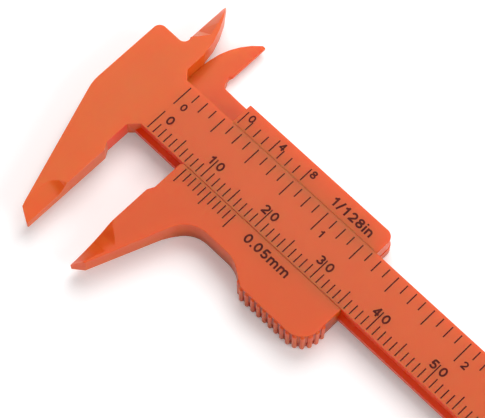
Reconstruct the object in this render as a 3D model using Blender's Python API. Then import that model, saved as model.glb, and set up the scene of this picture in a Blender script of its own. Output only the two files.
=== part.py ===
"""Plastic vernier caliper with an 80 mm / 3 inch scale.

Two mouldings: the graduated beam with its fixed jaws, and the slider with its moving jaws, thumb
grip, vernier strips and back plate. Each is modelled in its own frame: x runs along the beam from
the zero line of its own scale, y from the beam's centre line towards the inner jaws, and z up from
the slider's back. The origin of the whole is at the middle of its base.
"""

import math

import bmesh
import bpy
from mathutils import Matrix, Vector

# Beam section: a bar whose rear part flares out on both sides
BEAM_WIDTH = 0.00875
BEAM_THICKNESS = 0.0029
FLARE_REACH = 0.0006
FLARE_HEIGHT = 0.0009
FLARE_SLOPE_HEIGHT = 0.0007
BEAM_LENGTH_PAST_ZERO = 0.1020
BEAM_END_RADIUS = 0.0015

# Slider against the beam
SLIDE_CLEARANCE = 0.00015
BACK_PLATE_THICKNESS = 0.00175
JAW_CLOSED_GAP = 0.00002
OPENING = 0.00795

# Head, which carries both fixed jaws
HEAD_LEFT = 0.0100
HEAD_TOP = 0.0079
HEAD_TOP_RADIUS = 0.0012
HEAD_SHOULDER = 0.0046
HEAD_SHOULDER_RADIUS = 0.0060
HEAD_ROOT_DEPTH = 0.0010
BAR_ROOT = 0.0030

# Outer jaws, for the outside of a workpiece
OUTER_JAW_FACE = 0.00165
OUTER_JAW_REACH = 0.0245
OUTER_JAW_FACE_TOP = 0.0104
OUTER_JAW_STEP_HEIGHT = 0.0010
FIXED_JAW_RELIEF = 0.0006
MOVING_JAW_RELIEF = 0.0005
FIXED_JAW_ROOT_CHAMFER = 0.0013
MOVING_JAW_ROOT_RADIUS = 0.0009
FIXED_JAW_TIP_WIDTH = 0.0018
FIXED_JAW_TIP_RISE = 0.0010
MOVING_JAW_TIP_WIDTH = 0.0018
MOVING_JAW_TIP_RISE = 0.0013
JAW_TIP_RADIUS = 0.00015
JAW_EDGE_THICKNESS = 0.0010
FIXED_JAW_SCOOP_LENGTH = 0.00725
FIXED_JAW_SCOOP_WIDTH = 0.0021
FIXED_JAW_SCOOP_DEPTH = 0.0014
MOVING_JAW_FACET_LENGTH = 0.0082

# Inner jaws, for the inside of a bore
INNER_JAW_FACE = 0.0062
INNER_JAW_REACH = 0.0163
INNER_JAW_TIP_WIDTH = 0.00045
INNER_JAW_EDGE_THICKNESS = 0.0006
INNER_JAW_BULGE = 0.0006
MOVING_INNER_JAW_BULGE = 0.0007
INNER_JAW_NOTCH_LEVEL = 0.0098
FIXED_NOTCH_WIDTH = 0.0009
FIXED_NOTCH_RADIUS = 0.0016
FIXED_NOTCH_RUN = 0.0009
INNER_JAW_ROOT = 0.0023
INNER_JAW_ROOT_LEVEL = 0.0088
INNER_JAW_ROOT_RADIUS = 0.0012
INNER_JAW_HEEL_WIDTH = 0.0011
INNER_JAW_HEEL_HEIGHT = 0.0012
INNER_JAW_HEEL_RADIUS = 0.0003
MOVING_INNER_JAW_WIDTH = 0.0040
MOVING_NOTCH_DEPTH = 0.00035
MOVING_NOTCH_HEIGHT = 0.0002
MOVING_INNER_ROOT_STEP = 0.0001
MOVING_INNER_ROOT_RISE = 0.00035
MOVING_INNER_ROOT_RUN = 0.0004
MOVING_INNER_ROOT_SLOPE = 0.00008

# Slider outline
STRIP_EDGE = 0.0078
STRIP_LEFT = 0.0006
STRIP_RIGHT = 0.0258
STRIP_CORNER_RADIUS = 0.00125
STRIP_START_RADIUS = 0.00015
PLATE_LIP = 0.00025
PLATE_ROOT_RUN = 0.0037
PLATE_NOSE_LEVEL = 0.0025
PLATE_TUCK = 0.00025
PLATE_TUCK_DROP = 0.0020
PLATE_OVERLAP = 0.0010
ARCH_TOP = 0.0092
ARCH_LEFT = 0.0054
ARCH_RIGHT = 0.0133
ARCH_LEFT_RADIUS = 0.0042
ARCH_RIGHT_RADIUS = 0.0044
GRIP_DEPTH = 0.0114
GRIP_LEFT = 0.0166
GRIP_RIGHT = 0.0279
GRIP_START_RADIUS = 0.0010
GRIP_CORNER_RADIUS = 0.0030
BACK_LAYER_HEIGHT = 0.00235
BACK_LAYER_INSET = 0.0002
JAW_BACK_RISE = 0.0017
JAW_BACK_ROOT_RISE = 0.0010
JAW_BACK_SLOPE_START = 0.0130
JAW_BACK_SLOPE_END = 0.0108

# Ribs round the thumb grip
RIB_COUNT = 15
RIB_PITCH = 0.00105
RIB_RADIUS = 0.00042
RIB_STAND = 0.00025
RIB_FIRST = -0.0009
RIB_FOOT = 0.0001
RIB_TOP_DROP = 0.00025
RIB_SIDES = 12

# Rounded moulding edges
EDGE_RADIUS = 0.00018
EDGE_SEGMENTS = 2

# Graduations, engraved to take the ink
INCH = 0.0254
MM = 0.001
SCALE_END_MARGIN = 0.0118
INCH_DIVISIONS = 16
GROOVE_DEPTH = 0.00006
GROOVE_WIDTH = 0.00018
MM_SCALE_MARGIN = 0.00024
INCH_SCALE_MARGIN = 0.0004
VERNIER_MARGIN = 0.0002
MM_MARK = 0.0016
MM_FIVE_MARK = 0.0023
MM_TEN_MARK = 0.0033
SIXTEENTH_MARK = 0.0015
EIGHTH_MARK = 0.0019
QUARTER_MARK = 0.0027
INCH_MARK = 0.0033
MM_VERNIER_PITCH = 0.000913
MM_VERNIER_LAST = 10
MM_VERNIER_MARK = 0.0016
MM_VERNIER_LONG_MARK = 0.0024
INCH_VERNIER_PITCH = 0.00145
INCH_VERNIER_LAST = 8
INCH_VERNIER_MARK = 0.0015
INCH_VERNIER_LONG_MARK = 0.0022

# How far a cutter runs past the surface it cuts
OVERRUN = 0.0010
WELD = 0.000002
ARC_STEP = math.radians(9)
SIDE_SHARE = 0.49
SHARP_ANGLE = math.radians(50)
FLAT_ANGLE = math.radians(0.2)

# Heights that follow from the thicknesses
PLATE_TOP = BACK_PLATE_THICKNESS
BEAM_BACK = PLATE_TOP + SLIDE_CLEARANCE
FRONT = BEAM_BACK + BEAM_THICKNESS
HALF_BEAM = BEAM_WIDTH / 2
CHANNEL_HALF = HALF_BEAM + SLIDE_CLEARANCE
SCALE_LENGTH = BEAM_LENGTH_PAST_ZERO - SCALE_END_MARGIN
CENTRE_X = (BEAM_LENGTH_PAST_ZERO - HEAD_LEFT) / 2
CENTRE_Y = (INNER_JAW_REACH - OUTER_JAW_REACH) / 2

for item in list(bpy.data.objects):
    bpy.data.objects.remove(item, do_unlink=True)

parts = bpy.data.collections.new("vernier_caliper")
guides = bpy.data.collections.new("cutters")
bpy.context.scene.collection.children.link(parts)
bpy.context.scene.collection.children.link(guides)


def as_guide(item):
    """Keep a cutter or a joined-in shape out of the finished model."""
    for collection in item.users_collection:
        collection.objects.unlink(item)
    guides.objects.link(item)
    item.hide_render = True
    item.display_type = "WIRE"
    return item


def arc_points(centre, start, sweep):
    """Points on an arc about centre, from the point start through the angle sweep."""
    count = max(2, math.ceil(abs(sweep) / ARC_STEP))
    spoke = Vector(start) - Vector(centre)
    turns = [Matrix.Rotation(sweep * step / count, 2) for step in range(count + 1)]
    return [Vector(centre) + turn @ spoke for turn in turns]


def rounded_corner(before, corner, after, radius):
    """The arc that rounds a corner, tangent to both of its sides."""
    into = (before - corner).normalized()
    out = (after - corner).normalized()
    opening = into.angle(out)
    side = min((before - corner).length, (after - corner).length)
    reach = min(radius / math.tan(opening / 2), side * SIDE_SHARE)
    radius = reach * math.tan(opening / 2)
    start = corner + into * reach
    centre = corner + (into + out).normalized() * (radius / math.sin(opening / 2))
    turn = math.pi - opening
    if into.cross(out) > 0:
        turn = -turn
    return arc_points(centre, start, turn)


def bulged_side(start, end, bulge):
    """Points between start and end on an arc that swells to the right of the line by bulge."""
    half = (end - start).length / 2
    radius = (half * half + bulge * bulge) / (2 * bulge)
    along = (end - start).normalized()
    right = Vector((along.y, -along.x))
    centre = (start + end) / 2 - right * (radius - bulge)
    sweep = 2 * math.asin(half / radius)
    return arc_points(centre, start, sweep)[1:-1]


def outline(corners):
    """A closed outline from corners (x, y, radius) or (x, y, radius, bulge of the next side)."""
    places = [Vector(corner[:2]) for corner in corners]
    count = len(places)
    points = []
    for index, corner in enumerate(corners):
        here = places[index]
        after = places[(index + 1) % count]
        if corner[2] > 0:
            points += rounded_corner(places[index - 1], here, after, corner[2])
        else:
            points.append(here)
        if len(corner) > 3:
            points += bulged_side(here, after, corner[3])
    return points


def welded(mesh, merge_flat=True):
    """Weld a mesh's doubles, and merge the triangles of each flat face unless told not to."""
    shape = bmesh.new()
    shape.from_mesh(mesh)
    bmesh.ops.remove_doubles(shape, verts=shape.verts, dist=WELD)
    bmesh.ops.dissolve_degenerate(shape, edges=shape.edges, dist=WELD)
    if merge_flat:
        bmesh.ops.dissolve_limit(
            shape, angle_limit=FLAT_ANGLE, verts=shape.verts, edges=shape.edges,
            use_dissolve_boundaries=False)
    bmesh.ops.recalc_face_normals(shape, faces=shape.faces)
    shape.to_mesh(mesh)
    shape.free()


def prism(name, points, low, high, along_x=False):
    """A flat outline filled and extruded from low to high, upwards or along the beam."""
    curve = bpy.data.curves.new(name, "CURVE")
    curve.dimensions = "2D"
    curve.fill_mode = "BOTH"
    curve.extrude = (high - low) / 2
    spline = curve.splines.new("POLY")
    spline.points.add(len(points) - 1)
    for place, point in zip(spline.points, points):
        place.co = (point[0], point[1], 0, 1)
    spline.use_cyclic_u = True
    drawn = bpy.data.objects.new(name, curve)
    if along_x:
        drawn.rotation_euler = (math.pi / 2, 0, math.pi / 2)
        drawn.location = ((high + low) / 2, 0, 0)
    else:
        drawn.location = (0, 0, (high + low) / 2)
    parts.objects.link(drawn)
    bpy.context.view_layer.update()
    read = drawn.evaluated_get(bpy.context.evaluated_depsgraph_get())
    mesh = bpy.data.meshes.new_from_object(read)
    mesh.transform(drawn.matrix_world)
    bpy.data.objects.remove(drawn)
    welded(mesh)
    solid = bpy.data.objects.new(name, mesh)
    parts.objects.link(solid)
    return solid


def loft(name, sections):
    """A closed solid through sections of equally many points."""
    shape = bmesh.new()
    rings = [[shape.verts.new(point) for point in section] for section in sections]
    count = len(rings[0])
    for lower, upper in zip(rings, rings[1:]):
        for index in range(count):
            following = (index + 1) % count
            shape.faces.new((lower[index], lower[following], upper[following], upper[index]))
    shape.faces.new(rings[0])
    shape.faces.new(rings[-1])
    bmesh.ops.triangulate(shape, faces=shape.faces)
    bmesh.ops.recalc_face_normals(shape, faces=shape.faces)
    mesh = bpy.data.meshes.new(name)
    shape.to_mesh(mesh)
    shape.free()
    solid = bpy.data.objects.new(name, mesh)
    parts.objects.link(solid)
    return solid


def combine(target, others, operation, merge_flat=True):
    """Join others to target, or cut them from it, and keep the result as target's mesh."""
    for other in others:
        as_guide(other)
        step = target.modifiers.new(other.name, "BOOLEAN")
        step.operation = operation
        step.solver = "EXACT"
        step.object = other
    bpy.context.view_layer.update()
    read = target.evaluated_get(bpy.context.evaluated_depsgraph_get())
    mesh = bpy.data.meshes.new_from_object(read)
    mesh.name = target.name
    target.modifiers.clear()
    target.data = mesh
    welded(mesh, merge_flat)


def round_level_edges(target, levels):
    """Round the sharp outer edges that lie level at one of the heights, and leave triangles."""
    shape = bmesh.new()
    shape.from_mesh(target.data)
    sharp = []
    for edge in shape.edges:
        heights = [vert.co.z for vert in edge.verts]
        level = any(all(abs(z - at) < WELD for z in heights) for at in levels)
        if level and edge.is_convex and edge.calc_face_angle(0) > SHARP_ANGLE:
            sharp.append(edge)
    bmesh.ops.bevel(
        shape, geom=sharp, offset=EDGE_RADIUS, offset_type="OFFSET", segments=EDGE_SEGMENTS,
        profile=0.5, affect="EDGES", clamp_overlap=True, material=-1)
    bmesh.ops.remove_doubles(shape, verts=shape.verts, dist=WELD)
    bmesh.ops.triangulate(shape, faces=shape.faces)
    bmesh.ops.recalc_face_normals(shape, faces=shape.faces)
    shape.to_mesh(target.data)
    shape.free()


def moulded_plastic(name, colour):
    """A shade of the moulded plastic."""
    plastic = bpy.data.materials.new(name)
    plastic.use_nodes = True
    shader = plastic.node_tree.nodes["Principled BSDF"]
    shader.inputs["Base Color"].default_value = (*colour, 1)
    shader.inputs["Roughness"].default_value = 0.42
    shader.inputs["Metallic"].default_value = 0
    return plastic


# Beam


def head_outline():
    """The head with the fixed outer jaw below and the fixed inner jaw above."""
    tip = -OUTER_JAW_REACH
    relief = -OUTER_JAW_FACE - FIXED_JAW_RELIEF
    face_top = -OUTER_JAW_FACE_TOP
    notch = -INNER_JAW_FACE + FIXED_NOTCH_WIDTH
    root = -INNER_JAW_ROOT
    return outline([
        (-OUTER_JAW_FACE, tip, JAW_TIP_RADIUS),
        (-OUTER_JAW_FACE, face_top, JAW_TIP_RADIUS),
        (relief, face_top + OUTER_JAW_STEP_HEIGHT, JAW_TIP_RADIUS),
        (relief, -HALF_BEAM - FIXED_JAW_ROOT_CHAMFER, JAW_TIP_RADIUS),
        (relief + FIXED_JAW_ROOT_CHAMFER, -HALF_BEAM, 0),
        (HEAD_ROOT_DEPTH, 0, 0),
        (root + INNER_JAW_HEEL_WIDTH, HALF_BEAM, 0),
        (root, HALF_BEAM + INNER_JAW_HEEL_HEIGHT, INNER_JAW_HEEL_RADIUS),
        (root, INNER_JAW_ROOT_LEVEL, INNER_JAW_ROOT_RADIUS, INNER_JAW_BULGE),
        (-INNER_JAW_FACE + INNER_JAW_TIP_WIDTH, INNER_JAW_REACH, 0),
        (-INNER_JAW_FACE, INNER_JAW_REACH, 0),
        (-INNER_JAW_FACE, INNER_JAW_NOTCH_LEVEL, 0),
        (notch, INNER_JAW_NOTCH_LEVEL, JAW_TIP_RADIUS),
        (notch, HEAD_TOP, FIXED_NOTCH_RADIUS),
        (notch - FIXED_NOTCH_RADIUS - FIXED_NOTCH_RUN, HEAD_TOP, 0),
        (-HEAD_LEFT, HEAD_TOP, HEAD_TOP_RADIUS),
        (-HEAD_LEFT, -HEAD_SHOULDER, HEAD_SHOULDER_RADIUS),
        (-OUTER_JAW_FACE - FIXED_JAW_TIP_WIDTH, tip + FIXED_JAW_TIP_RISE, JAW_TIP_RADIUS),
    ])


def beam_section():
    """Half the bar's width and its flare, mirrored about the centre line."""
    flare = HALF_BEAM + FLARE_REACH
    right = [
        (flare, BEAM_BACK),
        (flare, BEAM_BACK + FLARE_HEIGHT),
        (HALF_BEAM, BEAM_BACK + FLARE_HEIGHT + FLARE_SLOPE_HEIGHT),
        (HALF_BEAM, FRONT),
    ]
    return right + [(-y, z) for y, z in reversed(right)]


def bar_blank():
    """The bar's outline seen from the front, with the free end's corners rounded."""
    side = HALF_BEAM + FLARE_REACH
    return outline([
        (-BAR_ROOT, -side, 0),
        (BEAM_LENGTH_PAST_ZERO, -side, BEAM_END_RADIUS),
        (BEAM_LENGTH_PAST_ZERO, side, BEAM_END_RADIUS),
        (-BAR_ROOT, side, 0),
    ])


def jaw_scoop():
    """The hollow that thins the fixed outer jaw towards its measuring edge."""
    edge = -OUTER_JAW_FACE
    past = edge + OVERRUN
    above = FRONT + OVERRUN
    shares = [
        (0.00, 0.17, 0.00),
        (0.05, 0.48, 0.37),
        (0.14, 0.78, 0.84),
        (0.22, 0.93, 1.00),
        (0.37, 1.00, 1.00),
        (1.20, 1.00, 1.00),
    ]
    sections = []
    for down_share, width_share, depth_share in shares:
        y = -OUTER_JAW_REACH + FIXED_JAW_SCOOP_LENGTH * (1 - down_share)
        side = edge - FIXED_JAW_SCOOP_WIDTH * width_share
        floor = FRONT - FIXED_JAW_SCOOP_DEPTH * depth_share
        sections.append([
            (side, y, FRONT), (edge, y, floor), (past, y, floor), (past, y, above), (side, y, above),
        ])
    return loft("jaw_scoop", sections)


def inner_jaw_facet(name, side, width, surface, floor):
    """The slope that thins an inner jaw towards its measuring edge.

    The jaw lies on side 1 or -1 of that edge. The slope starts at the jaw's surface and reaches
    the floor at the edge.
    """
    edge = -INNER_JAW_FACE
    past = edge - side * OVERRUN
    beyond = surface + math.copysign(OVERRUN, surface - floor)
    length = INNER_JAW_REACH - INNER_JAW_NOTCH_LEVEL
    shares = [
        (-0.08, 0.15),
        (0.04, 0.37),
        (0.25, 0.62),
        (0.55, 0.48),
        (0.85, 0.30),
        (1.20, 0.30),
    ]
    sections = []
    for up_share, width_share in shares:
        y = INNER_JAW_NOTCH_LEVEL + length * up_share
        ridge = edge + side * width * width_share
        sections.append([
            (ridge, y, surface), (edge, y, floor), (past, y, floor), (past, y, beyond),
            (ridge, y, beyond),
        ])
    return loft(name, sections)


def mark_comb(name, marks):
    """One cutter for a row of marks, each (x, lower end, upper end)."""
    shape = bmesh.new()
    for x, low, high in marks:
        place = Matrix.Translation((x, (low + high) / 2, FRONT)) @ Matrix.Diagonal(
            (GROOVE_WIDTH, high - low, 2 * GROOVE_DEPTH, 1))
        bmesh.ops.create_cube(shape, size=1, matrix=place)
    mesh = bpy.data.meshes.new(name)
    shape.to_mesh(mesh)
    shape.free()
    comb = bpy.data.objects.new(name, mesh)
    parts.objects.link(comb)
    return comb


def mm_marks():
    """Every millimetre, longer at each fifth and longest at each tenth."""
    foot = -HALF_BEAM + MM_SCALE_MARGIN
    marks = []
    for count in range(int(SCALE_LENGTH / MM) + 1):
        length = MM_MARK
        if count % 5 == 0:
            length = MM_FIVE_MARK
        if count % 10 == 0:
            length = MM_TEN_MARK
        marks.append((count * MM, foot, foot + length))
    return marks


def inch_marks():
    """Every sixteenth of an inch, longer at each eighth, quarter and inch."""
    top = HALF_BEAM - INCH_SCALE_MARGIN
    step = INCH / INCH_DIVISIONS
    marks = []
    for count in range(int(SCALE_LENGTH / step) + 1):
        length = SIXTEENTH_MARK
        if count % 2 == 0:
            length = EIGHTH_MARK
        if count % 4 == 0:
            length = QUARTER_MARK
        if count % INCH_DIVISIONS == 0:
            length = INCH_MARK
        marks.append((count * step, top - length, top))
    return marks


def make_beam():
    """Bar and head in one moulding, thinned at the jaws, rounded and graduated."""
    beam = prism("beam", beam_section(), -BAR_ROOT, BEAM_LENGTH_PAST_ZERO, True)
    blank = prism("bar_blank", bar_blank(), BEAM_BACK - OVERRUN, FRONT + OVERRUN)
    combine(beam, [blank], "INTERSECT")
    combine(beam, [prism("head", head_outline(), BEAM_BACK, FRONT)], "UNION")
    facet = inner_jaw_facet(
        "fixed_inner_facet", 1, INNER_JAW_FACE - INNER_JAW_ROOT, FRONT,
        BEAM_BACK + INNER_JAW_EDGE_THICKNESS)
    combine(beam, [jaw_scoop(), facet], "DIFFERENCE")
    round_level_edges(beam, (FRONT, BEAM_BACK))
    combine(beam, [mark_comb("scales", mm_marks() + inch_marks())], "DIFFERENCE", merge_flat=False)
    return beam


# Slider


def body_outline(inset):
    """Moving outer jaw, arch, thumb grip and the two strips, drawn in by inset on the free sides."""
    face = -OUTER_JAW_FACE + JAW_CLOSED_GAP
    relief = face + MOVING_JAW_RELIEF
    face_top = -OUTER_JAW_FACE_TOP
    top = -CHANNEL_HALF
    return outline([
        (face, -OUTER_JAW_REACH, JAW_TIP_RADIUS),
        (face + MOVING_JAW_TIP_WIDTH - inset, -OUTER_JAW_REACH + MOVING_JAW_TIP_RISE, JAW_TIP_RADIUS),
        (ARCH_LEFT - inset, -ARCH_TOP + inset, ARCH_LEFT_RADIUS),
        (ARCH_RIGHT, -ARCH_TOP + inset, ARCH_RIGHT_RADIUS),
        (GRIP_LEFT, -GRIP_DEPTH + inset, GRIP_START_RADIUS),
        (GRIP_RIGHT - inset, -GRIP_DEPTH + inset, GRIP_CORNER_RADIUS),
        (GRIP_RIGHT - inset, top, 0),
        (STRIP_RIGHT - inset, top + GRIP_RIGHT - STRIP_RIGHT, 0),
        (STRIP_RIGHT - inset, STRIP_EDGE, STRIP_CORNER_RADIUS),
        (-STRIP_LEFT, STRIP_EDGE, STRIP_START_RADIUS),
        (-STRIP_LEFT, CHANNEL_HALF, 0),
        (relief + MOVING_JAW_ROOT_RADIUS, top, 0),
        (relief, top, MOVING_JAW_ROOT_RADIUS),
        (relief, face_top + OUTER_JAW_STEP_HEIGHT, JAW_TIP_RADIUS),
        (face, face_top, JAW_TIP_RADIUS),
    ])


def plate_outline():
    """Back plate, which passes behind the beam and carries the moving inner jaw."""
    face = -INNER_JAW_FACE
    back = face - MOVING_INNER_JAW_WIDTH
    lip = STRIP_EDGE + PLATE_LIP
    notch = face - MOVING_NOTCH_DEPTH
    foot = -OUTER_JAW_FACE + JAW_CLOSED_GAP + MOVING_JAW_RELIEF + MOVING_JAW_ROOT_RADIUS
    return outline([
        (foot, -CHANNEL_HALF - PLATE_OVERLAP, 0),
        (STRIP_RIGHT, -CHANNEL_HALF - PLATE_OVERLAP, 0),
        (STRIP_RIGHT, lip, STRIP_CORNER_RADIUS),
        (face + PLATE_ROOT_RUN, lip, 0),
        (face + MOVING_INNER_ROOT_RUN, lip + MOVING_INNER_ROOT_SLOPE, 0),
        (face + MOVING_INNER_ROOT_STEP, lip + MOVING_INNER_ROOT_RISE, 0),
        (notch, INNER_JAW_NOTCH_LEVEL - MOVING_NOTCH_HEIGHT, 0),
        (notch, INNER_JAW_NOTCH_LEVEL, 0),
        (face, INNER_JAW_NOTCH_LEVEL + MOVING_NOTCH_DEPTH, 0),
        (face, INNER_JAW_REACH, 0),
        (face - INNER_JAW_TIP_WIDTH, INNER_JAW_REACH, 0, MOVING_INNER_JAW_BULGE),
        (back, INNER_JAW_NOTCH_LEVEL, 0),
        (back - PLATE_TUCK, INNER_JAW_NOTCH_LEVEL - PLATE_TUCK_DROP, 0),
        (back - PLATE_TUCK, PLATE_NOSE_LEVEL, JAW_TIP_RADIUS),
        (foot, -CHANNEL_HALF, 0),
    ])


def channel_section():
    """The beam's section with the sliding clearance, open at the front."""
    flare = CHANNEL_HALF + FLARE_REACH
    right = [
        (flare, PLATE_TOP),
        (flare, BEAM_BACK + FLARE_HEIGHT),
        (CHANNEL_HALF, BEAM_BACK + FLARE_HEIGHT + FLARE_SLOPE_HEIGHT),
        (CHANNEL_HALF, FRONT + OVERRUN),
    ]
    return right + [(-y, z) for y, z in reversed(right)]


def jaw_facet():
    """The slope that thins the moving outer jaw towards its measuring edge."""
    edge = -OUTER_JAW_FACE + JAW_CLOSED_GAP
    past = edge - OVERRUN
    above = FRONT + OVERRUN
    depth = FRONT - JAW_BACK_RISE - JAW_EDGE_THICKNESS
    width = 2 * MOVING_JAW_TIP_WIDTH
    shares = [
        (0.00, 0.02, 0.00),
        (0.09, 0.16, 0.09),
        (0.16, 0.36, 0.22),
        (0.24, 0.62, 0.36),
        (0.32, 0.80, 0.50),
        (0.48, 0.70, 0.72),
        (0.65, 0.56, 0.88),
        (0.85, 0.43, 1.00),
        (1.10, 0.30, 1.00),
    ]
    sections = []
    for down_share, width_share, depth_share in shares:
        y = -OUTER_JAW_REACH + MOVING_JAW_FACET_LENGTH * (1 - down_share)
        ridge = edge + width * width_share
        floor = FRONT - depth * depth_share
        sections.append([
            (ridge, y, FRONT), (edge, y, floor), (past, y, floor), (past, y, above), (ridge, y, above),
        ])
    return loft("jaw_facet", sections)


def jaw_back_cut():
    """What is taken off behind the moving outer jaw, which is thinner than the body."""
    low = -OVERRUN
    past = -OUTER_JAW_REACH - OVERRUN
    side = [
        (past, low),
        (-JAW_BACK_SLOPE_END, low),
        (-JAW_BACK_SLOPE_END, 0),
        (-JAW_BACK_SLOPE_START, JAW_BACK_ROOT_RISE),
        (-OUTER_JAW_REACH, JAW_BACK_RISE),
        (past, JAW_BACK_RISE),
    ]
    return prism("jaw_back_cut", side, -OUTER_JAW_FACE - OVERRUN, ARCH_LEFT + ARCH_LEFT_RADIUS, True)


def rib_places():
    """Centres of the ribs, from the grip's start along its edge, round its corner and up its end."""
    sunk = RIB_RADIUS - RIB_STAND
    turn_x = GRIP_RIGHT - GRIP_CORNER_RADIUS
    turn_y = -GRIP_DEPTH + GRIP_CORNER_RADIUS
    straight = turn_x - GRIP_LEFT
    quarter = GRIP_CORNER_RADIUS * math.pi / 2
    spoke = GRIP_CORNER_RADIUS - sunk
    start = Vector((GRIP_LEFT, -GRIP_DEPTH))
    slope = (start - Vector((ARCH_RIGHT, -ARCH_TOP))).normalized()
    into = Vector((-slope.y, slope.x))
    places = []
    for count in range(RIB_COUNT):
        run = RIB_FIRST + count * RIB_PITCH
        if run < 0:
            places.append(tuple(start + slope * run + into * sunk))
        elif run < straight:
            places.append((GRIP_LEFT + run, -GRIP_DEPTH + sunk))
        elif run < straight + quarter:
            turn = (run - straight) / GRIP_CORNER_RADIUS
            places.append((turn_x + spoke * math.sin(turn), turn_y - spoke * math.cos(turn)))
        else:
            places.append((GRIP_RIGHT - sunk, turn_y + run - straight - quarter))
    return places


def make_rib(x, y):
    """One upright rib: a rounded pin with a domed top, tapered towards its foot."""
    shape = bmesh.new()
    bmesh.ops.create_uvsphere(shape, u_segments=RIB_SIDES, v_segments=6, radius=RIB_RADIUS)
    top = FRONT - RIB_TOP_DROP - RIB_RADIUS
    for vert in shape.verts:
        if vert.co.z > -WELD:
            vert.co.z += top
        else:
            vert.co.z += RIB_FOOT + RIB_RADIUS
    bmesh.ops.translate(shape, verts=shape.verts, vec=(x, y, 0))
    mesh = bpy.data.meshes.new("rib")
    shape.to_mesh(mesh)
    shape.free()
    rib = bpy.data.objects.new("rib", mesh)
    parts.objects.link(rib)
    return rib


def vernier_marks(pitch, last, long_every, mark, long_mark, side):
    """A vernier's lines from the sliding edge outwards, on the strip at y side 1 or -1."""
    start = CHANNEL_HALF + VERNIER_MARGIN
    marks = []
    for count in range(last + 1):
        length = long_mark if count % long_every == 0 else mark
        ends = sorted((side * start, side * (start + length)))
        marks.append((count * pitch, ends[0], ends[1]))
    return marks


def make_slider():
    """Jaw, grip and strips over the beam's flared sides, joined to the back plate."""
    slider = prism("slider", body_outline(0), BACK_LAYER_HEIGHT, FRONT)
    back_layer = prism("back_layer", body_outline(BACK_LAYER_INSET), 0, BACK_LAYER_HEIGHT + OVERRUN)
    combine(slider, [back_layer], "UNION")
    channel = prism("channel", channel_section(), -STRIP_LEFT - OVERRUN, GRIP_RIGHT + OVERRUN, True)
    combine(slider, [channel], "DIFFERENCE")
    combine(slider, [prism("back_plate", plate_outline(), 0, PLATE_TOP)], "UNION")
    back_facet = inner_jaw_facet(
        "moving_inner_facet", -1, MOVING_INNER_JAW_WIDTH, 0, PLATE_TOP - INNER_JAW_EDGE_THICKNESS)
    combine(slider, [jaw_facet(), jaw_back_cut(), back_facet], "DIFFERENCE")
    combine(slider, [make_rib(x, y) for x, y in rib_places()], "UNION")
    round_level_edges(slider, (FRONT, PLATE_TOP, 0))
    mm_vernier = vernier_marks(
        MM_VERNIER_PITCH, MM_VERNIER_LAST, 5, MM_VERNIER_MARK, MM_VERNIER_LONG_MARK, -1)
    inch_vernier = vernier_marks(
        INCH_VERNIER_PITCH, INCH_VERNIER_LAST, 4, INCH_VERNIER_MARK, INCH_VERNIER_LONG_MARK, 1)
    combine(slider, [mark_comb("verniers", mm_vernier + inch_vernier)], "DIFFERENCE", merge_flat=False)
    return slider


orange = moulded_plastic("orange_plastic", (0.76, 0.137, 0.047))
deep_orange = moulded_plastic("deep_orange_plastic", (0.74, 0.127, 0.040))

beam = make_beam()
beam.location = (-CENTRE_X, -CENTRE_Y, 0)
beam.data.materials.append(orange)
slider = make_slider()
slider.location = (OPENING - CENTRE_X, -CENTRE_Y, 0)
slider.data.materials.append(deep_orange)
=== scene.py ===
import math

import bmesh
import bpy
from mathutils import Matrix, Vector
from mathutils.geometry import delaunay_2d_cdt


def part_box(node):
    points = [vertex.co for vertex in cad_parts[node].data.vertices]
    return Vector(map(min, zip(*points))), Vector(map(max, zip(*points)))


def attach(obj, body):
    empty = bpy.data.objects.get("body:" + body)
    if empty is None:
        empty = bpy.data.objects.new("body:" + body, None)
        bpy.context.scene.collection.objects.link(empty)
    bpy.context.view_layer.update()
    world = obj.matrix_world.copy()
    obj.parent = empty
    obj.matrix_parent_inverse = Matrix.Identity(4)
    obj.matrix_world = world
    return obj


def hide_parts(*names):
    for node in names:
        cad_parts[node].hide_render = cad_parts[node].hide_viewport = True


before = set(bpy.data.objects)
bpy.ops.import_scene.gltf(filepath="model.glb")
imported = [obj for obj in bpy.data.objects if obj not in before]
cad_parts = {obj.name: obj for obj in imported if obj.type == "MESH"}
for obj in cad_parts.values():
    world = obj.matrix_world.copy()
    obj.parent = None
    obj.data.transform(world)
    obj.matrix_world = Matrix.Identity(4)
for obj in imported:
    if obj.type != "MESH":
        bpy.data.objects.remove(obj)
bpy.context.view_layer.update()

MM = 0.001
INCH = 25.4 * MM

# Where both scales start, the bar's centre line and half width, and the graduated front
BEAM_LOW, BEAM_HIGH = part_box("beam")
SLIDER_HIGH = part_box("slider")[1]
HEAD_LEFT = 10.0 * MM
OPENING = 7.95 * MM
ZERO_X = BEAM_LOW.x + HEAD_LEFT
VERNIER_ZERO_X = ZERO_X + OPENING
CENTRE_Y = 4.1 * MM
HALF_BEAM = 4.375 * MM
SLIDE_CLEARANCE = 0.15 * MM
FRONT = BEAM_HIGH.z

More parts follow.
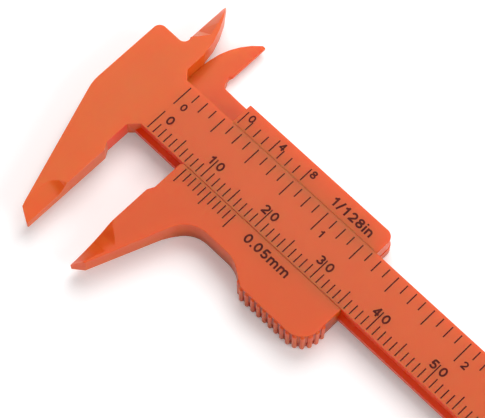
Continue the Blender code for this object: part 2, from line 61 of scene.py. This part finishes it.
# Graduations: engraved grooves that the ink fills
GROOVE_WIDTH = 0.18 * MM
GROOVE_DEPTH = 0.06 * MM
INK_BELOW_FRONT = 0.012 * MM
INK_BITE = 0.006 * MM
SCALE_LENGTH = 90.2 * MM
MM_FOOT = -HALF_BEAM + 0.24 * MM
ONE_MM_MARK = 1.6 * MM
FIVE_MM_MARK = 2.3 * MM
TEN_MM_MARK = 3.3 * MM
INCH_TOP = HALF_BEAM - 0.4 * MM
SIXTEENTH_MARK = 1.5 * MM
EIGHTH_MARK = 1.9 * MM
QUARTER_MARK = 2.7 * MM
INCH_MARK = 3.3 * MM
VERNIER_START = HALF_BEAM + SLIDE_CLEARANCE + 0.2 * MM
MM_VERNIER_PITCH = 0.913 * MM
MM_VERNIER_MARK = 1.6 * MM
MM_VERNIER_LONG_MARK = 2.4 * MM
INCH_VERNIER_PITCH = 1.45 * MM
INCH_VERNIER_MARK = 1.5 * MM
INCH_VERNIER_LONG_MARK = 2.2 * MM

# Figures and legends: thin printed strokes, placed from their scale's zero and the centre line
FIGURE_THICKNESS = 0.02 * MM
FIGURE_PROUD = 0.008 * MM
MM_FIGURE_HEIGHT = 1.34 * MM
MM_ZERO_PLACE = (1.5 * MM, -1.32 * MM)
MM_FIGURE_Y = -1.35 * MM
TENS_ASIDE = -0.66 * MM
UNITS_ASIDE = 0.9 * MM
INCH_FIGURE_HEIGHT = 1.12 * MM
INCH_FIGURE_ASIDE = 1.4 * MM
INCH_FIGURE_Y = 1.25 * MM
VERNIER_FIGURE_HEIGHT = 1.16 * MM
VERNIER_FIGURE_PITCH = 1.42 * MM
VERNIER_FIGURE_ASIDE = 1.03 * MM
VERNIER_FIGURE_Y = 6.5 * MM
LEGEND_HEIGHT = 1.4 * MM
MM_LEGEND_PLACE = (15.98 * MM, -5.9 * MM)
MM_LEGEND_SPACING_SHARE = 0.13
INCH_LEGEND_PLACE = (20.10 * MM, 5.86 * MM)
INCH_LEGEND_SPACING_SHARE = 0.115

# The pen that draws the figures, as shares of a figure's height, and its turns in degrees
PEN_SHARE = 0.2
MITRE_SHARE = 0.6
STRETCH_SHARE = 1.16
SAME_PLACE_SHARE = 0.0001
ARC_STEP = 18
CLOSED_RING = 375

# How the mouldings' edges are told apart, and the fine seam beside the bar
WELD = 0.002 * MM
FLAT_ANGLE = math.radians(0.3)
LEVEL_TURN = math.radians(7.5)
CREASE = math.radians(26)
RIDGE_TURN = math.radians(30)
ROUNDING_TURN = math.radians(60)
ROUNDING_WIDTH = 0.3 * MM
FLATS_WEIGHT = 90
SEAM_DRAW = 0.1 * MM
SEAM_REACH = 0.17 * MM
SEAM_SLACK = SEAM_REACH / 8
LIP_DEPTH = 1.6 * MM

# Which walls get a painted shade of deeper red: where they stand, and shares of their normal that
# say how they face
JAW_ROOT_LOW = CENTRE_Y - HALF_BEAM - 5.5 * MM
GRIP_START = SLIDER_HIGH.x - 14 * MM
LEAST_DOWN = 0.3
DOWN_TO_ASIDE = 2
SQUARE_ON = 0.9
MOST_LEVEL = 0.5

# Sizes of the patterns; a mould's own grain is too fine to show, so GRAIN_SIZE is coarser
FLOW_SIZE = 14 * MM
GRAIN_SIZE = 0.45 * MM
RIPPLE_SIZE = 3 * MM
RIPPLE_DEPTH = 0.02 * MM
GLOW_REACH = 4 * MM
# Painted shade: the plastic turns duller from here rightwards, for the light and sheen that fall
# off along the bar
FAR_SHADE_START = ZERO_X - 1 * MM
FAR_SHADE_FADE = 3 * MM
INK_PATCH_SIZE = 0.9 * MM
FIBRE_SIZE = 20 * MM

# Studio: places and sizes in metres, power in watts
ROOM_STRENGTH = 0.36
KEY_PLACE = (-0.12, 0.20, 0.34)
KEY_TARGET = (-0.02, 0, 0)
KEY_SIZE = 0.32
KEY_POWER = 1.18
FILL_PLACE = (0.48, 0.10, 0.30)
FILL_TARGET = (0, 0, 0)
FILL_SIZE = 0.40
FILL_POWER = 1.5
FLOOR_SIZE = 1.5
FLOOR_DROP = 0.01 * MM
FLOOR_LIFT = 0.165

# Camera: its place, its turn about X, Y and Z in degrees, and its lens in millimetres
CAMERA_PLACE = (52.354 * MM, -83.713 * MM, 286.357 * MM)
CAMERA_TURN = (22.570, -0.425, 44.959)
SENSOR_WIDTH = 36
LENS = 173.9
NEAREST_SEEN = 10 * MM


def linear(code):
    """Linear colour from an sRGB hex value."""
    channels = [int(code[start:start + 2], 16) / 255 for start in (1, 3, 5)]
    return [*(c / 12.92 if c <= 0.04045 else ((c + 0.055) / 1.055) ** 2.4 for c in channels), 1]


def add_node(tree, kind, settings=None, inputs=None):
    """Add a node with its settings, and set or link its inputs by name or number."""
    node = tree.nodes.new(kind)
    for name, value in (settings or {}).items():
        setattr(node, name, value)
    for name, value in (inputs or {}).items():
        if isinstance(value, bpy.types.NodeSocket):
            tree.links.new(value, node.inputs[name])
        else:
            node.inputs[name].default_value = value
    return node


def new_material(name):
    """An empty material's tree, its shader and the object coordinates."""
    material = bpy.data.materials.new(name)
    material.use_nodes = True
    tree = material.node_tree
    shader = tree.nodes["Principled BSDF"]
    place = add_node(tree, "ShaderNodeTexCoord").outputs["Object"]
    return material, tree, shader, place


def moulded_polystyrene(name, face, cloud, far_shade, wear_and_highlight, painted_shade):
    """Injection-moulded polystyrene, slightly glossy.

    The eye gets an even, saturated orange-red with a faint cloudiness from the mould's flow, a
    painted shade that makes it slightly duller from the head's end rightwards, a paler thin line
    along the edges that is partly rubbed wear and partly a painted highlight, a painted shade of
    deeper red on the walls under the bar and between the ribs, and a glow through thin walls.
    """
    material, tree, shader, place = new_material(name)
    flow = add_node(
        tree, "ShaderNodeTexNoise", inputs={
            "Vector": place, "Scale": 1 / FLOW_SIZE, "Detail": 3.0, "Roughness": 0.5})
    flow_share = add_node(
        tree, "ShaderNodeMapRange", inputs={
            "Value": flow.outputs["Fac"], "From Min": 0.35, "From Max": 0.65})
    body = add_node(
        tree, "ShaderNodeMix", {"data_type": "RGBA"}, {
            0: flow_share.outputs["Result"], 6: linear(face), 7: linear(cloud)})
    grain = add_node(
        tree, "ShaderNodeTexNoise", inputs={
            "Vector": place, "Scale": 1 / GRAIN_SIZE, "Detail": 2.0, "Roughness": 0.6})
    # Partly rubbed wear, partly a painted highlight: a paler colour along the rounded edges and the
    # ribs' crests
    edge_wear_and_highlight = add_node(tree, "ShaderNodeAttribute", {"attribute_name": "rounded_edge"})
    wear_and_highlight_mix = add_node(
        tree, "ShaderNodeMath", {"operation": "MULTIPLY", "use_clamp": True}, {
            0: edge_wear_and_highlight.outputs["Fac"], 1: grain.outputs["Fac"]})
    along = add_node(tree, "ShaderNodeSeparateXYZ", inputs={"Vector": place})
    # Painted shade: a duller colour from the head's end rightwards, where less light and sheen fall
    far_shade_share = add_node(
        tree, "ShaderNodeMapRange", inputs={
            "Value": along.outputs["X"], "From Min": FAR_SHADE_START,
            "From Max": FAR_SHADE_START + FAR_SHADE_FADE})
    far_shaded = add_node(
        tree, "ShaderNodeMix", {"data_type": "RGBA"}, {
            0: far_shade_share.outputs["Result"], 6: body.outputs[2], 7: linear(far_shade)})
    wear_and_highlight_skin = add_node(
        tree, "ShaderNodeMix", {"data_type": "RGBA"}, {
            0: wear_and_highlight_mix.outputs[0], 6: far_shaded.outputs[2], 7: linear(wear_and_highlight)})
    # Painted shade: a deeper red on the walls that lie in shade, under the bar and between the
    # grip's ribs
    painted_shade_wall = add_node(tree, "ShaderNodeAttribute", {"attribute_name": "painted_shade_wall"})
    skin = add_node(
        tree, "ShaderNodeMix", {"data_type": "RGBA"}, {
            0: painted_shade_wall.outputs["Fac"], 6: wear_and_highlight_skin.outputs[2], 7: linear(painted_shade)})
    tree.links.new(skin.outputs[2], shader.inputs["Base Color"])
    gloss = add_node(
        tree, "ShaderNodeMapRange", inputs={
            "Value": grain.outputs["Fac"], "From Min": 0.3, "From Max": 0.7, "To Min": 0.28,
            "To Max": 0.36})
    tree.links.new(gloss.outputs["Result"], shader.inputs["Roughness"])
    ripple = add_node(
        tree, "ShaderNodeTexNoise", inputs={
            "Vector": place, "Scale": 1 / RIPPLE_SIZE, "Detail": 4.0, "Roughness": 0.55})
    bump = add_node(
        tree, "ShaderNodeBump", inputs={
            "Height": ripple.outputs["Fac"], "Strength": 0.25, "Distance": RIPPLE_DEPTH})
    tree.links.new(bump.outputs["Normal"], shader.inputs["Normal"])
    shader.inputs["IOR"].default_value = 1.5
    shader.inputs["Specular IOR Level"].default_value = 0.2
    shader.inputs["Subsurface Weight"].default_value = 0.75
    shader.inputs["Subsurface Radius"].default_value = (1.0, 0.08, 0.02)
    shader.inputs["Subsurface Scale"].default_value = GLOW_REACH
    return material


def printing_ink(name, full, thin):
    """Matt printing ink pressed into the graduations and onto the plastic.

    The eye gets a dark red-brown that is slightly uneven, thinner in patches, with no gloss.
    """
    material, tree, shader, place = new_material(name)
    patches = add_node(
        tree, "ShaderNodeTexNoise", inputs={
            "Vector": place, "Scale": 1 / INK_PATCH_SIZE, "Detail": 3.0, "Roughness": 0.6})
    thin_share = add_node(
        tree, "ShaderNodeMapRange", inputs={
            "Value": patches.outputs["Fac"], "From Min": 0.4, "From Max": 0.75})
    tint = add_node(
        tree, "ShaderNodeMix", {"data_type": "RGBA"}, {
            0: thin_share.outputs["Result"], 6: linear(full), 7: linear(thin)})
    tree.links.new(tint.outputs[2], shader.inputs["Base Color"])
    shader.inputs["Roughness"].default_value = 0.7
    shader.inputs["IOR"].default_value = 1.48
    shader.inputs["Specular IOR Level"].default_value = 0.2
    return material


def paper_floor():
    """Seamless white paper.

    The eye gets a matt, even white that keeps the caliper's soft shadow. An added glow, which
    lights nothing else, lifts what is seen of it a little towards white.
    """
    material, tree, shader, place = new_material("white_paper")
    fibre = add_node(
        tree, "ShaderNodeTexNoise", inputs={
            "Vector": place, "Scale": 1 / FIBRE_SIZE, "Detail": 4.0})
    tone = add_node(
        tree, "ShaderNodeMix", {"data_type": "RGBA"}, {
            0: fibre.outputs["Fac"], 6: linear("#fbf9f9"), 7: linear("#fcfafa")})
    tree.links.new(tone.outputs[2], shader.inputs["Base Color"])
    shader.inputs["Roughness"].default_value = 0.9
    shader.inputs["Specular IOR Level"].default_value = 0.1
    lift = add_node(
        tree, "ShaderNodeEmission", inputs={"Color": linear("#fffdfd"), "Strength": FLOOR_LIFT})
    lifted = add_node(
        tree, "ShaderNodeAddShader", inputs={
            0: shader.outputs["BSDF"], 1: lift.outputs["Emission"]})
    path = add_node(tree, "ShaderNodeLightPath")
    camera_or_mirror = add_node(
        tree, "ShaderNodeMath", {"operation": "MAXIMUM"}, {
            0: path.outputs["Is Camera Ray"], 1: path.outputs["Is Glossy Ray"]})
    seen = add_node(
        tree, "ShaderNodeMath", {"operation": "MAXIMUM"}, {
            0: camera_or_mirror.outputs[0], 1: path.outputs["Is Transmission Ray"]})
    final = add_node(
        tree, "ShaderNodeMixShader", inputs={
            0: seen.outputs[0], 1: shader.outputs["BSDF"], 2: lifted.outputs["Shader"]})
    tree.links.new(final.outputs["Shader"], tree.nodes["Material Output"].inputs["Surface"])
    return material


def finished(name, shape, material, body):
    """Make a shape an object of that material that rides on a body."""
    mesh = bpy.data.meshes.new(name)
    shape.to_mesh(mesh)
    shape.free()
    mesh.materials.append(material)
    piece = bpy.data.objects.new(name, mesh)
    bpy.context.scene.collection.objects.link(piece)
    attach(piece, body)
    return piece


# The two mouldings


def is_narrow(face):
    """Whether a face is a strip no wider than a rounding's facets, and not level."""
    level = abs(face.normal.z) > math.cos(LEVEL_TURN)
    return not level and face.calc_area() < face.calc_perimeter() * ROUNDING_WIDTH / 2


def on_ridge(vert):
    """Whether a vertex lies on a sharp edge or on the middle line of a rounded one."""
    return any(
        edge.is_convex and edge.calc_face_angle(0) > RIDGE_TURN for edge in vert.link_edges)


def rubbed_share(face, vert):
    """1 where hands rub and where a painted highlight lies: along the roundings, and on upright
    ridges near the front.
    """
    if len(face.verts) < 4 or not is_narrow(face) or not on_ridge(vert):
        return 0
    upright = abs(face.normal.z) < math.sin(LEVEL_TURN)
    return 0 if upright and vert.co.z < FRONT - ROUNDING_WIDTH else 1


def under_bar(face, vert):
    """1 for a painted shade and red glow on the walls under the bar and beside the fixed jaw's
    root.
    """
    if not JAW_ROOT_LOW < vert.co.y < CENTRE_Y or is_narrow(face):
        return 0
    faces_down = face.normal.y < min(-LEAST_DOWN, -DOWN_TO_ASIDE * abs(face.normal.x))
    return 1 if faces_down or face.normal.x > SQUARE_ON else 0


def between_ribs(face, vert):
    """1 for a painted shade at the foot of the grooves between the grip's ribs."""
    if vert.co.x < GRIP_START or vert.co.y > CENTRE_Y or abs(face.normal.z) > MOST_LEVEL:
        return 0
    for edge in vert.link_edges:
        upright = abs(edge.verts[0].co.z - edge.verts[1].co.z) > edge.calc_length() / 2
        if upright and not edge.is_convex and edge.calc_face_angle(0) > RIDGE_TURN:
            return 1
    return 0


def close_seam(shape, draw):
    """Draw the two lips beside the bar in towards it, which leaves a finer seam."""
    lip = HALF_BEAM + SLIDE_CLEARANCE
    for vert in shape.verts:
        aside = vert.co.y - CENTRE_Y
        if -SEAM_SLACK < abs(aside) - lip < SEAM_REACH and vert.co.z > FRONT - LIP_DEPTH:
            vert.co.y -= math.copysign(draw, aside)


def dress_moulding(node, material, painted_shade_share, seam_draw=0):
    """A welded copy of a CAD solid, smooth over its roundings and flat elsewhere."""
    shape = bmesh.new()
    shape.from_mesh(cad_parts[node].data)
    bmesh.ops.remove_doubles(shape, verts=shape.verts, dist=WELD)
    bmesh.ops.dissolve_limit(
        shape, angle_limit=FLAT_ANGLE, verts=shape.verts, edges=shape.edges,
        use_dissolve_boundaries=False)
    bmesh.ops.recalc_face_normals(shape, faces=shape.faces)
    close_seam(shape, seam_draw)
    edge_wear_and_highlight = shape.loops.layers.float.new("rounded_edge")
    # Painted shade: the share of deeper red at each corner of the shaded walls
    painted_shade = shape.loops.layers.float.new("painted_shade_wall")
    for face in shape.faces:
        face.smooth = True
        for loop in face.loops:
            loop[edge_wear_and_highlight] = rubbed_share(face, loop.vert)
            loop[painted_shade] = painted_shade_share(face, loop.vert)
    for edge in shape.edges:
        limit = ROUNDING_TURN if all(is_narrow(face) for face in edge.link_faces) else CREASE
        edge.smooth = edge.calc_face_angle(0) < limit
    piece = finished(node + "_moulding", shape, material, node)
    flats = piece.modifiers.new("even_flats", "WEIGHTED_NORMAL")
    flats.weight = FLATS_WEIGHT
    flats.keep_sharp = True
    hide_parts(node)


# Graduations


def ink_lines(name, marks, zero_x, material, body):
    """Ink in a row of grooves, each (x from the scale's zero, lower end, upper end)."""
    top = FRONT - INK_BELOW_FRONT
    bottom = FRONT - GROOVE_DEPTH - INK_BITE
    shape = bmesh.new()
    for x, low, high in marks:
        middle = Vector((zero_x + x, CENTRE_Y + (low + high) / 2, (top + bottom) / 2))
        size = (GROOVE_WIDTH + INK_BITE, high - low + INK_BITE, top - bottom, 1)
        bmesh.ops.create_cube(
            shape, size=1, matrix=Matrix.Translation(middle) @ Matrix.Diagonal(size))
    finished(name, shape, material, body)


def mm_marks():
    """Every millimetre, longer at each fifth and longest at each tenth."""
    lengths = {0: TEN_MM_MARK, 5: FIVE_MM_MARK}
    marks = []
    for count in range(int(SCALE_LENGTH / MM) + 1):
        length = lengths.get(count % 10, ONE_MM_MARK)
        marks.append((count * MM, MM_FOOT, MM_FOOT + length))
    return marks


def inch_marks():
    """Every sixteenth of an inch, longer at each eighth, quarter and inch."""
    step = INCH / 16
    marks = []
    for count in range(int(SCALE_LENGTH / step) + 1):
        length = SIXTEENTH_MARK
        for every, longer in ((2, EIGHTH_MARK), (4, QUARTER_MARK), (16, INCH_MARK)):
            if count % every == 0:
                length = longer
        marks.append((count * step, INCH_TOP - length, INCH_TOP))
    return marks


def vernier_marks(pitch, last, long_every, mark, long_mark, side):
    """A vernier's lines from the sliding edge outwards, on the strip at y side 1 or -1."""
    marks = []
    for count in range(last + 1):
        length = long_mark if count % long_every == 0 else mark
        ends = sorted((side * VERNIER_START, side * (VERNIER_START + length)))
        marks.append((count * pitch, ends[0], ends[1]))
    return marks


# Figures and legends


def arc(x, y, reach_x, reach_y, start, end):
    """Points on an elliptical arc about (x, y) between two angles in degrees."""
    count = max(3, round(abs(end - start) / ARC_STEP))
    turns = [math.radians(start + (end - start) * step / count) for step in range(count + 1)]
    return [(x + reach_x * math.cos(turn), y + reach_y * math.sin(turn)) for turn in turns]


def character_shares():
    """Each character's width and pen strokes, as shares of the figure height.

    A closed round stroke runs a little past its start, so that it has no open joint.
    """
    return {
        "0": (0.66, [arc(0.33, 0.5, 0.235, 0.405, 0, CLOSED_RING)]),
        "1": (0.66, [[(0.40, 0), (0.40, 1)], [(0.13, 0.70), (0.28, 0.76), (0.40, 0.90)]]),
        "2": (0.66, [
            arc(0.32, 0.66, 0.225, 0.245, 170, -38) + [(0.13, 0.13)],
            [(0.04, 0.095), (0.62, 0.095)]]),
        "3": (0.66, [
            arc(0.31, 0.725, 0.205, 0.18, 160, -90), arc(0.31, 0.31, 0.235, 0.215, 90, -160)]),
        "4": (0.66, [
            [(0.46, 0), (0.46, 1)], [(0.03, 0.29), (0.64, 0.29)], [(0.10, 0.26), (0.44, 0.90)]]),
        "5": (0.66, [
            [(0.60, 0.905), (0.16, 0.905)], [(0.19, 0.92), (0.13, 0.45)],
            arc(0.32, 0.325, 0.235, 0.23, 150, -155)]),
        "6": (0.66, [
            arc(0.33, 0.31, 0.225, 0.215, 0, CLOSED_RING),
            arc(0.34, 0.5, 0.235, 0.405, 40, 205)]),
        "7": (0.66, [[(0.05, 0.905), (0.62, 0.905)], [(0.54, 0.88), (0.34, 0.50), (0.27, 0)]]),
        "8": (0.66, [
            arc(0.33, 0.735, 0.195, 0.17, 0, CLOSED_RING),
            arc(0.33, 0.30, 0.23, 0.205, 0, CLOSED_RING)]),
        "9": (0.66, [
            arc(0.33, 0.69, 0.225, 0.215, 180, 180 + CLOSED_RING),
            arc(0.32, 0.5, 0.235, 0.405, 220, 385)]),
        "/": (0.36, [[(0.02, -0.02), (0.34, 1.02)]]),
        ".": (0.22, [[(0.11, 0), (0.11, 0.2)]]),
        "i": (0.20, [[(0.10, 0), (0.10, 0.74)], [(0.10, 0.86), (0.10, 1.03)]]),
        "n": (0.60, [
            [(0.095, 0), (0.095, 0.74)], arc(0.30, 0.45, 0.21, 0.21, 180, 0) + [(0.51, 0)]]),
        "m": (1.00, [
            [(0.095, 0), (0.095, 0.74)], arc(0.295, 0.45, 0.2, 0.21, 180, 0) + [(0.495, 0)],
            arc(0.695, 0.45, 0.2, 0.21, 180, 0) + [(0.895, 0)]]),
    }


def pen_pairs(points):
    """A pen stroke along points as pairs of side points, mitred at the bends."""
    places = [Vector(point) for point in points]
    pairs = []
    for index, place in enumerate(places):
        before = (place - places[max(index - 1, 0)]).normalized()
        after = (places[min(index + 1, len(places) - 1)] - place).normalized()
        along = (before + after).normalized()
        bend = max(MITRE_SHARE, along.dot(after if after.length else before))
        side = Vector((-along.y, along.x)) * PEN_SHARE / 2 / bend
        pairs.append((place + side, place - side))
    return pairs


def words_outline(words, spacing):
    """Side points and quads of all strokes of the words, as shares of their height, from x = 0."""
    shares = character_shares()
    corners = []
    quads = []
    start = 0
    for letter in words:
        width, lines = shares[letter]
        for line in lines:
            first = len(corners)
            for left, right in pen_pairs([(x * STRETCH_SHARE, y) for x, y in line]):
                corners += [left + Vector((start, 0)), right + Vector((start, 0))]
            for step in range(first, len(corners) - 2, 2):
                quads.append((step, step + 1, step + 3, step + 2))
        start += width * STRETCH_SHARE + spacing
    return corners, quads


def thicken(shape, thickness):
    """Make a level sheet solid downwards.

    The region extrude operator isn't used, because its faces come in a new order on each run.
    """
    sheet = shape.faces[:]
    border = [edge for edge in shape.edges if edge.is_boundary]
    down = Vector((0, 0, -thickness))
    below = {vert: shape.verts.new(vert.co + down) for vert in shape.verts[:]}
    for face in sheet:
        shape.faces.new([below[vert] for vert in reversed(face.verts)])
    for edge in border:
        start, end = edge.verts
        shape.faces.new((start, end, below[end], below[start]))
    bmesh.ops.recalc_face_normals(shape, faces=shape.faces)


def lettering(name, entries, zero_x, material, body):
    """Printed figures: each entry is (words, middle x, middle y, height, spacing share)."""
    shape = bmesh.new()
    for words, x, y, height, spacing in entries:
        corners, quads = words_outline(words, spacing)
        across = [corner.x for corner in corners]
        middle = Vector(((max(across) + min(across)) / 2, 0.5))
        places, _, faces, _, _, sources = delaunay_2d_cdt(
            corners, [], quads, 0, SAME_PLACE_SHARE)
        level = FRONT + FIGURE_PROUD
        verts = []
        for place in places:
            at = (place - middle) * height
            verts.append(shape.verts.new((zero_x + x + at.x, CENTRE_Y + y + at.y, level)))
        for face, source in zip(faces, sources):
            if source:
                shape.faces.new([verts[index] for index in face])
    bmesh.ops.delete(
        shape, geom=[vert for vert in shape.verts if not vert.link_faces], context="VERTS")
    bmesh.ops.dissolve_limit(
        shape, angle_limit=FLAT_ANGLE, verts=shape.verts, edges=shape.edges,
        use_dissolve_boundaries=False)
    thicken(shape, FIGURE_THICKNESS)
    finished(name, shape, material, body)


def mm_figures():
    """0, then 10 to 90, whose two digits stand on either side of their line."""
    figures = [("0", *MM_ZERO_PLACE, MM_FIGURE_HEIGHT, 0)]
    for tens in range(1, 10):
        for words, aside in ((str(tens), TENS_ASIDE), ("0", UNITS_ASIDE)):
            figures.append((words, tens * 10 * MM + aside, MM_FIGURE_Y, MM_FIGURE_HEIGHT, 0))
    return figures


def inch_figures():
    """0 to 3, each to the right of its line."""
    return [
        (str(count), count * INCH + INCH_FIGURE_ASIDE, INCH_FIGURE_Y, INCH_FIGURE_HEIGHT, 0)
        for count in range(4)]


def vernier_figures():
    """0, 4 and 8 over the inch vernier."""
    figures = []
    for count in (0, 4, 8):
        x = count * VERNIER_FIGURE_PITCH + VERNIER_FIGURE_ASIDE
        figures.append((str(count), x, VERNIER_FIGURE_Y, VERNIER_FIGURE_HEIGHT, 0))
    return figures


# Light, floor and camera


def soft_lamp(name, place, target, size, power):
    """A square softbox that faces the target."""
    lamp = bpy.data.lights.new(name, "AREA")
    lamp.shape = "SQUARE"
    lamp.size = size
    lamp.energy = power
    item = bpy.data.objects.new(name, lamp)
    item.location = place
    item.rotation_euler = (Vector(target) - Vector(place)).to_track_quat("-Z", "Y").to_euler()
    bpy.context.scene.collection.objects.link(item)


def set_studio():
    """Pale floor, soft light from above and the far left, and an even white room."""
    scene = bpy.context.scene
    scene.view_settings.view_transform = "Standard"
    world = bpy.data.worlds.new("white_room")
    world.use_nodes = True
    room = world.node_tree.nodes["Background"]
    room.inputs["Color"].default_value = linear("#ffffff")
    room.inputs["Strength"].default_value = ROOM_STRENGTH
    scene.world = world
    soft_lamp("key_softbox", KEY_PLACE, KEY_TARGET, KEY_SIZE, KEY_POWER)
    soft_lamp("fill_softbox", FILL_PLACE, FILL_TARGET, FILL_SIZE, FILL_POWER)
    shape = bmesh.new()
    bmesh.ops.create_grid(shape, x_segments=1, y_segments=1, size=FLOOR_SIZE)
    bmesh.ops.translate(shape, verts=shape.verts, vec=(0, 0, -FLOOR_DROP))
    mesh = bpy.data.meshes.new("floor")
    shape.to_mesh(mesh)
    shape.free()
    mesh.materials.append(paper_floor())
    floor = bpy.data.objects.new("floor", mesh)
    scene.collection.objects.link(floor)


def set_camera():
    """The photograph's view: close above the caliper, turned so that the beam runs down right."""
    camera = bpy.data.cameras.new("camera")
    camera.sensor_width = SENSOR_WIDTH
    camera.lens = LENS
    camera.clip_start = NEAREST_SEEN
    item = bpy.data.objects.new("camera", camera)
    item.location = CAMERA_PLACE
    item.rotation_euler = [math.radians(turn) for turn in CAMERA_TURN]
    bpy.context.scene.collection.objects.link(item)
    bpy.context.scene.camera = item


set_studio()
set_camera()

beam_plastic = moulded_polystyrene(
    "moulded_polystyrene_beam", face="#df5c15", cloud="#d96520", far_shade="#d65a1e",
    wear_and_highlight="#e27a50", painted_shade="#ee440c")
slider_plastic = moulded_polystyrene(
    "moulded_polystyrene_slider", face="#e15d14", cloud="#db651f", far_shade="#d75615",
    wear_and_highlight="#e27a50", painted_shade="#9c2c0e")
ink = printing_ink("dark_red_ink", full="#4a140b", thin="#6a2212")

# The beam gets a painted shade and red glow on its walls under the bar
dress_moulding("beam", beam_plastic, under_bar)
# The slider gets a painted shade of darker red between the grip's ribs
dress_moulding("slider", slider_plastic, between_ribs, SEAM_DRAW)

mm_vernier = vernier_marks(
    MM_VERNIER_PITCH, last=10, long_every=5, mark=MM_VERNIER_MARK,
    long_mark=MM_VERNIER_LONG_MARK, side=-1)
inch_vernier = vernier_marks(
    INCH_VERNIER_PITCH, last=8, long_every=4, mark=INCH_VERNIER_MARK,
    long_mark=INCH_VERNIER_LONG_MARK, side=1)
ink_lines("mm_scale_ink", mm_marks(), ZERO_X, ink, "beam")
ink_lines("inch_scale_ink", inch_marks(), ZERO_X, ink, "beam")
ink_lines("mm_vernier_ink", mm_vernier, VERNIER_ZERO_X, ink, "slider")
ink_lines("inch_vernier_ink", inch_vernier, VERNIER_ZERO_X, ink, "slider")

mm_legend = ("0.05mm", *MM_LEGEND_PLACE, LEGEND_HEIGHT, MM_LEGEND_SPACING_SHARE)
inch_legend = ("1/128in", *INCH_LEGEND_PLACE, LEGEND_HEIGHT, INCH_LEGEND_SPACING_SHARE)
lettering("mm_figures", mm_figures(), ZERO_X, ink, "beam")
lettering("inch_figures", inch_figures(), ZERO_X, ink, "beam")
lettering("vernier_figures", vernier_figures(), VERNIER_ZERO_X, ink, "slider")
lettering("mm_legend", [mm_legend], VERNIER_ZERO_X, ink, "slider")
lettering("inch_legend", [inch_legend], VERNIER_ZERO_X, ink, "slider")
